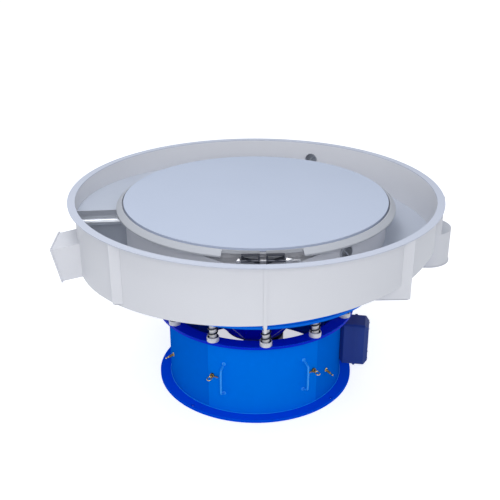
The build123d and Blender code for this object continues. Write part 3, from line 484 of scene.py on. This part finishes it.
def makeCups(p):
    r, c, inR, sleeveR = p["outR"], p["round"], p["inR"], p["sleeveR"]
    low, high = p["baseTop"], p["frameLow"]
    mouth, lowFloor, top = low + p["lowerHeight"], low + p["floor"], p["sleeveTop"]
    lower = [(0, low), (r, low), (r, mouth - c), (r - c / 3, mouth - c / 3), (r - c, mouth),
             (inR + c / 2, mouth), (inR, mouth - c / 2), (inR, lowFloor), (sleeveR, lowFloor),
             (sleeveR, top - c), (sleeveR - c, top), (0, top)]
    mouth, highFloor = high - p["upperHeight"], high - p["floor"]
    upper = [(0, high), (r, high), (r, mouth + c), (r - c / 3, mouth + c / 3), (r - c, mouth),
             (inR + c / 2, mouth), (inR, mouth + c / 2), (inR, highFloor), (0, highFloor)]
    for name, outline, body, stands in (("lowerCups", lower, "base", "lower_spring_cups"),
                                        ("upperCups", upper, "deck", "upper_spring_cups")):
        bm = bmesh.new()
        turned(bm, outline, p["steps"])
        bmesh.ops.translate(bm, verts=bm.verts[:], vec=(springSet["circleR"], 0, 0))
        spreadAround(bm, springAngles)
        piece(name, bm, "nylon", body, (stands,))


makeCups(cupSet)
print("cups turned")

# Bent handles on small round feet
handleSet = {
    "angle": 25.0, "panelR": 0.4303, "low": 0.112, "high": 0.268, "reach": 0.040, "slope": 0.018,
    "barR": 0.0045, "bendR": 0.012, "padR": 0.009, "padT": 0.0025, "padSteps": 24,
}


def makeHandles(p):
    bm = bmesh.new()
    startX = p["panelR"] + p["padT"]
    run = p["reach"] - p["padT"]
    heading = math.atan2(p["slope"], run)
    bend = math.pi / 2 - heading
    cut = p["bendR"] * math.tan(bend / 2)
    legs = math.hypot(run, p["slope"]) - cut
    upright = p["high"] - p["low"] - 2 * p["slope"] - 2 * cut
    turn = ("turn", bend, p["bendR"])
    bentBar(bm, p["barR"], (startX, 0, p["low"]), heading,
            [("go", legs, 0), turn, ("go", upright, 0), turn, ("go", legs, 0)])
    foot = [(0, 0), (p["padR"], 0), (p["padR"], p["padT"] * 0.6), (p["padR"] * 0.8, p["padT"]),
            (p["barR"], p["padT"] * 1.4), (0, p["padT"] * 1.4)]
    for level in (p["low"], p["high"]):
        stampTurned(bm, foot, p["padSteps"], Matrix.Translation((p["panelR"], 0, level)) @ outward)
    swing = math.radians(p["angle"])
    spreadAround(bm, [baseFront - swing, baseFront + swing])
    piece("bentHandles", bm, "handlePaintHighlight", "panel", ("panel_handles",))


makeHandles(handleSet)

# Latches: stepped hub on a plain stud, ring loop that droops a little, side rod
latchSet = {
    "angle": 32.8, "level": 0.194, "panelR": 0.4306, "hubR": 0.0108, "hubT": 0.009, "neckR": 0.0073,
    "neckT": 0.009, "studR": 0.0034, "studLow": 0.4172, "rodR": 0.0029, "rodEnd": 0.0328, "edge": 0.001,
    "shoulder": 0.0015, "loopR": 0.0092, "loopBarR": 0.0025, "loopStretch": 0.008, "droop": 12.0,
    "hubSteps": 40, "rodSteps": 16, "loopSteps": 36, "loopSides": 10,
}


def makeLatch(name, side, p):
    dark = bmesh.new()
    bright = bmesh.new()
    edge, hubR, hubT, neckR = p["edge"], p["hubR"], p["hubT"], p["neckR"]
    rodR, rodEnd = p["rodR"], p["rodEnd"]
    top = hubT + p["neckT"]
    studEnd = p["studLow"] - p["panelR"]
    stampTurned(dark, [(0, studEnd), (p["studR"], studEnd), (p["studR"], 0), (hubR - edge, 0), (hubR, edge),
                       (hubR, hubT - p["shoulder"]), (hubR - p["shoulder"], hubT), (neckR, hubT),
                       (neckR, top - edge), (neckR - edge, top), (0, top)],
                p["hubSteps"], Matrix.Translation((p["panelR"], 0, p["level"])) @ outward)
    stampTurned(dark, [(0, 0), (rodR, 0), (rodR, rodEnd - edge), (rodR - edge, rodEnd), (0, rodEnd)],
                p["rodSteps"], Matrix.Translation((p["panelR"] + hubT - rodR, 0, p["level"]))
                @ Matrix.Rotation(-side * math.pi / 2, 4, "X"))
    loop = bmesh.new()
    section(loop, p["loopSides"], p["loopBarR"], Matrix.Translation((p["loopR"], 0, 0)) @ alongZ)
    bmesh.ops.spin(loop, geom=loop.verts[:] + loop.edges[:], cent=(0, 0, 0), axis=(0, 0, 1),
                   angle=2 * math.pi, steps=p["loopSteps"], use_merge=True)
    ahead = [v for v in loop.verts if v.co.x > 0]
    bmesh.ops.translate(loop, verts=ahead, vec=(p["loopStretch"], 0, 0))
    stamp(bright, loop, Matrix.Translation((p["panelR"] + top - p["loopBarR"], 0, p["level"]))
          @ Matrix.Rotation(math.radians(p["droop"]), 4, "Y")
          @ Matrix.Translation((p["loopR"], 0, 0)))
    loop.free()
    turn = Matrix.Rotation(baseFront - side * math.radians(p["angle"]), 3, "Z")
    for made in (dark, bright):
        bmesh.ops.rotate(made, verts=made.verts[:], cent=(0, 0, 0), matrix=turn)
    piece(name + "Hub", dark, "darkBrass", name, (name,))
    piece(name + "Loop", bright, "brass", name)


makeLatch("latch_left", 1, latchSet)
makeLatch("latch_right", -1, latchSet)
print("handles and latches made")

# Grease fittings: bright flange on the drum, dark body with grip rings, bright nipple
fittingSet = {
    "places": ((45.7, 0.150), (-74.0, 0.165)), "drumR": 0.4273, "flangeR": 0.0095, "flangeT": 0.0027,
    "bodyR": 0.006, "bodyLow": 0.001, "bodyEnd": 0.028, "groove": 0.0006, "ringLow": 0.003,
    "ringMargin": 0.004, "rings": 5, "tubeR": 0.004, "tubeEnd": 0.044, "tubeNeck": 0.0005,
    "lipLow": 0.006, "lipHigh": 0.005, "lipEdge": 0.002, "droop": 20.0, "flangeSteps": 32,
    "bodySteps": 24, "tubeSteps": 20,
}


def makeFittings(p):
    bright = bmesh.new()
    dark = bmesh.new()
    bodyR, tubeR, end = p["bodyR"], p["tubeR"], p["tubeEnd"]
    neckR, thin = bodyR - p["groove"], tubeR - p["tubeNeck"]
    flange = [(0, 0), (p["flangeR"], 0), (p["flangeR"], p["flangeT"] * 0.7),
              (p["flangeR"] * 0.85, p["flangeT"]), (0, p["flangeT"])]
    body = [(0, p["bodyLow"]), (neckR, p["bodyLow"])]
    ringStep = (p["bodyEnd"] - p["ringMargin"]) / p["rings"]
    for i in range(p["rings"]):
        z = p["ringLow"] + i * ringStep
        body += [(neckR, z), (bodyR, z + ringStep * 0.2), (bodyR, z + ringStep * 0.7),
                 (neckR, z + ringStep * 0.9)]
    body += [(tubeR, p["bodyEnd"]), (0, p["bodyEnd"])]
    tubeLow = p["bodyEnd"] - p["bodyLow"]
    tube = [(0, tubeLow), (thin, tubeLow), (thin, end - p["lipLow"]), (tubeR, end - p["lipHigh"]),
            (tubeR, end - p["lipEdge"]), (tubeR - p["lipEdge"], end), (0, end)]
    for angle, level in p["places"]:
        turn = Matrix.Rotation(baseFront + math.radians(angle), 4, "Z")
        place = turn @ Matrix.Translation((p["drumR"], 0, level))
        drooping = place @ Matrix.Rotation(math.pi / 2 + math.radians(p["droop"]), 4, "Y")
        stampTurned(bright, flange, p["flangeSteps"], place @ outward)
        stampTurned(dark, body, p["bodySteps"], drooping)
        stampTurned(bright, tube, p["tubeSteps"], drooping)
    piece("fittingBright", bright, "brass", "base", ("grease_fittings",))
    piece("fittingBody", dark, "darkBrass", "base")


makeFittings(fittingSet)

# Clamp bolts with a rolled thread, and chamfered nuts
clampSet = {
    "y": 0.6306, "z": 0.885, "short": -0.106, "long": 0.150, "boltR": 0.0049, "threadDepth": 0.0007,
    "threadSink": 0.0002, "pitch": 0.0020, "edge": 0.001, "plainEnd": 0.004, "boltSteps": 20,
    "threadSteps": 14, "nutR": 0.0085, "nutSoften": 0.0012, "boltSharp": 50,
    "nuts": ((0.0909, 0.1149), (-0.0999, -0.0909)),
}


def makeClamp(p):
    rod = bmesh.new()
    core = p["boltR"] - p["threadDepth"]
    edge = p["edge"]
    length = p["long"] - p["short"]
    turned(rod, [(0, 0), (core - edge, 0), (core, edge), (core, length - edge), (core - edge, length),
                 (0, length)], p["boltSteps"])
    root = core - p["threadSink"]
    ridge = [rod.verts.new(v) for v in ((root, 0, edge), (p["boltR"], 0, edge + p["pitch"] / 2),
                                        (root, 0, edge + p["pitch"]))]
    edges = [rod.edges.new(pair) for pair in zip(ridge, ridge[1:] + ridge[:1])]
    turns = int((length - p["plainEnd"]) / p["pitch"])
    made = bmesh.ops.spin(rod, geom=edges, cent=(0, 0, 0), axis=(0, 0, 1), angle=2 * math.pi * turns,
                          steps=turns * p["threadSteps"], dvec=(0, 0, p["pitch"] / p["threadSteps"]),
                          use_merge=False)["geom_last"]
    capEnds(rod, edges, edgesIn(made))
    bolts = bmesh.new()
    nuts = bmesh.new()
    across = Matrix.Translation((p["short"], -p["y"], p["z"])) @ outward
    for turn in (Matrix.Identity(4), Matrix.Rotation(math.pi, 4, "Z")):
        stamp(bolts, rod, turn @ across)
    rod.free()
    for low, high in p["nuts"]:
        nut = sixSided(p["nutR"] / math.cos(math.pi / 6), high - low, p["nutSoften"], True)
        place = (Matrix.Translation(((low + high) / 2, -p["y"], p["z"])) @ outward
                 @ Matrix.Rotation(math.pi / 6, 4, "Z"))
        for turn in (Matrix.Identity(4), Matrix.Rotation(math.pi, 4, "Z")):
            stamp(nuts, nut, turn @ place)
        nut.free()
    piece("threadedBolts", bolts, "steel", "deck", ("clamp_bolts",), p["boltSharp"])
    piece("chamferedNuts", nuts, "steel", "deck", ("clamp_nuts",))


makeClamp(clampSet)
print("fittings and clamp bolts made")

# Box screws with a slot, and the ribbed cable gland
boxSet = {
    "angle": 75.0, "faceX": 0.5613, "low": 0.098, "height": 0.219, "y": 0.031, "z": 0.0815,
    "screwR": 0.0044, "screwT": 0.0028, "screwEdge": 0.001, "screwSteps": 24, "slotW": 0.0011,
    "slotD": 0.0010, "slotInset": 0.0004, "glandX": 0.4613, "glandY": 0.059, "glandZ": 0.164,
    "hexR": 0.0148, "hexT": 0.008, "hexSoften": 0.0008, "noseR": 0.0114, "noseEnd": 0.0238,
    "noseEdge": 0.003, "noseSteps": 48, "boreR": 0.0072, "ribs": 24, "ribOut": 0.0001, "ribMiddle": 0.0142,
    "ribSize": (0.0009, 0.0008, 0.009),
}


# Head in two halves either side of a slot, over a disc that is the slot's bottom
def slottedHead(p):
    head = bmesh.new()
    r, t, edge = p["screwR"], p["screwT"], p["screwEdge"]
    for half in (-1, 1):
        side = bmesh.new()
        turned(side, [(0, 0), (r, 0), (r, t - edge), (r - edge, t), (0, t)], p["screwSteps"])
        cut = bmesh.ops.bisect_plane(side, geom=side.verts[:] + side.edges[:] + side.faces[:], dist=weldDist,
                                     plane_co=(half * p["slotW"] / 2, 0, 0), plane_no=(-half, 0, 0),
                                     clear_outer=True)
        capEnds(side, edgesIn(cut["geom_cut"]))
        stamp(head, side, Matrix.Identity(4))
        side.free()
    inner, bottom = r - p["slotInset"], t - p["slotD"]
    bmesh.ops.create_cone(head, cap_ends=True, segments=p["screwSteps"], radius1=inner, radius2=inner,
                          depth=bottom, matrix=Matrix.Translation((0, 0, bottom / 2)))
    return head


def makeBoxTrim(p):
    boxTurn = Matrix.Rotation(baseFront + math.radians(p["angle"]), 4, "Z")
    middle = p["low"] + p["height"] / 2
    screws = bmesh.new()
    head = slottedHead(p)
    for y in (-p["y"], p["y"]):
        for z in (-p["z"], p["z"]):
            stamp(screws, head, boxTurn @ Matrix.Translation((p["faceX"], y, middle + z)) @ outward)
    head.free()
    piece("slottedScrews", screws, "steel", "base", ("box_screws",))
    gland = bmesh.new()
    boreR, noseR, end, edge = p["boreR"], p["noseR"], p["noseEnd"], p["noseEdge"]
    stampTurned(gland, [(boreR, 0), (noseR, 0), (noseR, end - edge), (noseR - edge, end), (boreR, end)],
                p["noseSteps"], Matrix.Identity(4))
    hexNut = sixSided(p["hexR"], p["hexT"], p["hexSoften"], False)
    stamp(gland, hexNut, Matrix.Translation((0, 0, p["hexT"] / 2)))
    hexNut.free()
    for i in range(p["ribs"]):
        rib = (Matrix.Rotation(2 * math.pi * i / p["ribs"], 4, "Z")
               @ Matrix.Translation((noseR + p["ribOut"], 0, p["ribMiddle"])))
        bmesh.ops.create_cube(gland, size=1, matrix=rib @ Matrix.Diagonal((*p["ribSize"], 1)))
    place = (boxTurn @ Matrix.Translation((p["glandX"], p["glandY"], p["glandZ"]))
             @ Matrix.Rotation(-math.pi / 2, 4, "X"))
    bmesh.ops.transform(gland, matrix=place, verts=gland.verts[:])
    piece("ribbedGland", gland, "glandNylon", "base", ("cable_gland",))


makeBoxTrim(boxSet)
print("box trim made")

# Round beads along joints and edges, in a brighter blue that paints the highlight lines where these edges
# catch light: ring radius, height, bead radius, body and slot
beadSet = {
    "rings": ((0.4292, 0.0132, 0.0022, "base", "base_paint"), (0.4290, 0.3848, 0.0018, "base", "base_paint"),
              (0.4808, 0.0111, 0.0011, "base", "base_paint"), (0.4808, 0.3971, 0.0011, "base", "base_paint"),
              (0.6080, 0.5731, 0.0010, "deck", "frame_paint")),
    "steps": 180, "sides": 8,
}


def makeBeads(p):
    for i, (r, z, beadR, body, slotName) in enumerate(p["rings"]):
        bm = bmesh.new()
        section(bm, p["sides"], beadR, Matrix.Translation((r, 0, z)) @ alongZ)
        bmesh.ops.spin(bm, geom=bm.verts[:] + bm.edges[:], cent=(0, 0, 0), axis=(0, 0, 1),
                       angle=2 * math.pi, steps=p["steps"], use_merge=True)
        piece(f"beadHighlight{i}", bm, "highlightBlue", body)


makeBeads(beadSet)
print("weld beads run")

# Floor, air and lamps
stageSet = {"size": 40.0, "color": 0.86, "glow": 0.62, "rough": 0.9, "specular": 0.1}


def makeFloor(p):
    bm = bmesh.new()
    bmesh.ops.create_grid(bm, x_segments=1, y_segments=1, size=p["size"] / 2)
    data = bpy.data.meshes.new("studioFloor")
    bm.to_mesh(data)
    bm.free()
    floor = bpy.data.objects.new("studioFloor", data)
    scene.collection.objects.link(floor)
    mat = newMaterial("studioWhite")
    tree = mat.node_tree
    out = addNode(tree, "ShaderNodeOutputMaterial")
    bsdf = addNode(tree, "ShaderNodeBsdfPrincipled")
    bsdf.inputs["Base Color"].default_value = (*[p["color"]] * 3, 1)
    bsdf.inputs["Roughness"].default_value = p["rough"]
    bsdf.inputs["Specular IOR Level"].default_value = p["specular"]
    glow = addNode(tree, "ShaderNodeEmission")
    path = addNode(tree, "ShaderNodeLightPath")
    seen = addNode(tree, "ShaderNodeMath", operation="MAXIMUM")
    wire(tree, path, "Is Camera Ray", seen, 0)
    wire(tree, path, "Is Glossy Ray", seen, 1)
    strength = addNode(tree, "ShaderNodeMath", operation="MULTIPLY")
    wire(tree, seen, 0, strength, 0)
    strength.inputs[1].default_value = p["glow"]
    wire(tree, strength, 0, glow, "Strength")
    both = addNode(tree, "ShaderNodeAddShader")
    wire(tree, bsdf, "BSDF", both, 0)
    wire(tree, glow, "Emission", both, 1)
    wire(tree, both, "Shader", out, "Surface")
    data.materials.append(mat)


makeFloor(stageSet)

airSet = {"zenith": (0.78, 0.87, 1.0), "horizon": (1.0, 1.0, 1.0), "strength": 0.62}


def makeAir(p):
    world = bpy.data.worlds.new("studioAir")
    scene.world = world
    world.use_nodes = True
    tree = world.node_tree
    tree.nodes.clear()
    out = addNode(tree, "ShaderNodeOutputWorld")
    coord = addNode(tree, "ShaderNodeTexCoord")
    split = addNode(tree, "ShaderNodeSeparateXYZ")
    wire(tree, coord, "Generated", split, 0)
    shade = addNode(tree, "ShaderNodeMix", data_type="RGBA")
    tree.links.new(split.outputs["Z"], shade.inputs[0])
    shade.inputs[6].default_value = (*p["horizon"], 1)
    shade.inputs[7].default_value = (*p["zenith"], 1)
    soft = addNode(tree, "ShaderNodeBackground")
    soft.inputs["Strength"].default_value = p["strength"]
    tree.links.new(shade.outputs[2], soft.inputs["Color"])
    white = addNode(tree, "ShaderNodeBackground")
    white.inputs["Color"].default_value = (1, 1, 1, 1)
    path = addNode(tree, "ShaderNodeLightPath")
    seen = addNode(tree, "ShaderNodeMath", operation="MAXIMUM")
    wire(tree, path, "Is Camera Ray", seen, 0)
    wire(tree, path, "Is Transmission Ray", seen, 1)
    either = addNode(tree, "ShaderNodeMixShader")
    wire(tree, seen, 0, either, 0)
    wire(tree, soft, "Background", either, 1)
    wire(tree, white, "Background", either, 2)
    wire(tree, either, "Shader", out, "Surface")


makeAir(airSet)

lampSet = {
    "keyLamp": {"place": (-0.1, -4.6, 3.0), "aim": (0, 0, 0.6), "size": 2.2, "power": 64.0,
                "color": (1.0, 0.985, 0.965)},
    "topLamp": {"place": (-0.7, -0.9, 4.3), "aim": (0, 0, 0.9), "size": 2.0, "power": 62.0,
                "color": (1.0, 0.99, 0.98)},
}


def makeLamps(p):
    for name, q in p.items():
        data = bpy.data.lights.new(name, "AREA")
        data.size = q["size"]
        data.energy = q["power"]
        data.color = q["color"]
        lamp = bpy.data.objects.new(name, data)
        scene.collection.objects.link(lamp)
        lamp.location = q["place"]
        lamp.rotation_mode = "QUATERNION"
        lamp.rotation_quaternion = (Vector(q["aim"]) - lamp.location).to_track_quat("-Z", "Y")


makeLamps(lampSet)
print("stage and lamps made")
